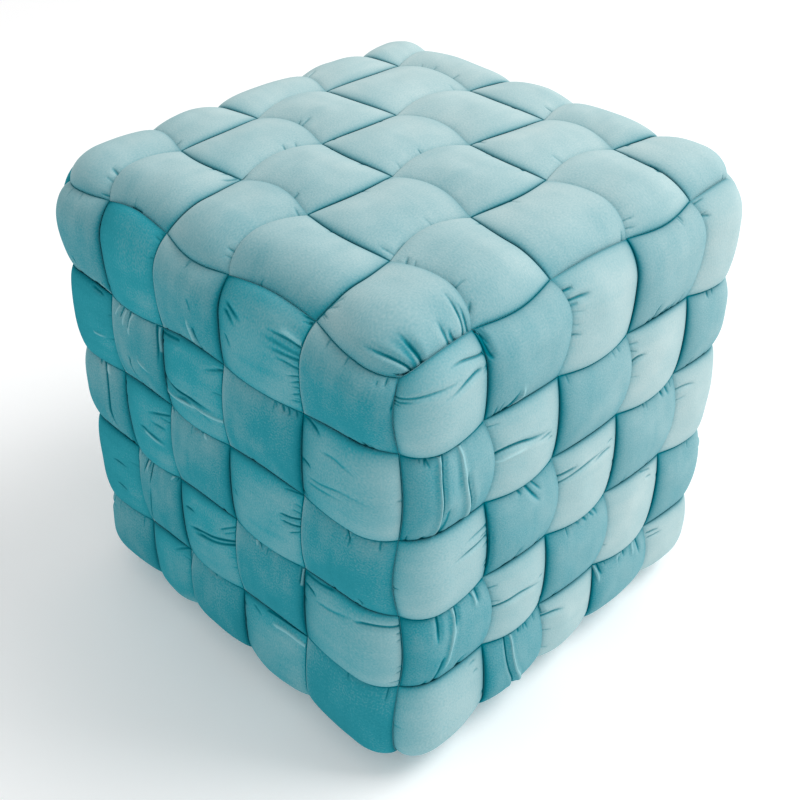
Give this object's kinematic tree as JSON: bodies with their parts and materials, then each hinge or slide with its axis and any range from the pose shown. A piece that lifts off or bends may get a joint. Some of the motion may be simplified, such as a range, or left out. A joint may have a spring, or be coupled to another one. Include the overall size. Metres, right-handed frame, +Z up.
{
  "type": "woven cube pouf stool",
  "caption": "Cube pouf stool: a filled block with a flat base, its top and sides a plain weave of soft padded velvet straps whose ends turn under it.",
  "frame": {"origin": "on the floor, under the middle of the pouf", "axes": "+Z up, -Y towards the front face (the right-hand one in the picture), -X towards the left face"},
  "size_m": [0.444, 0.444, 0.455],
  "materials": {
    "long_velvet": "matt velvet, its nap running along the strap",
    "cross_velvet": "matt velvet, its nap running along the strap",
    "ring_velvet": "matt velvet, its nap running along the strap",
    "base_cloth": "plain matt woven cloth"
  },
  "bodies": {
    "root": {"long_strap_1": "long_velvet", "long_strap_2": "long_velvet", "long_strap_3": "long_velvet", "long_strap_4": "long_velvet", "long_strap_5": "long_velvet", "cross_strap_1": "cross_velvet", "cross_strap_2": "cross_velvet", "cross_strap_3": "cross_velvet", "cross_strap_4": "cross_velvet", "cross_strap_5": "cross_velvet", "ring_strap_1": "ring_velvet", "ring_strap_2": "ring_velvet", "ring_strap_3": "ring_velvet", "ring_strap_4": "ring_velvet", "ring_strap_5": "ring_velvet", "filled_body": "base_cloth"}
  },
  "joints": []
}
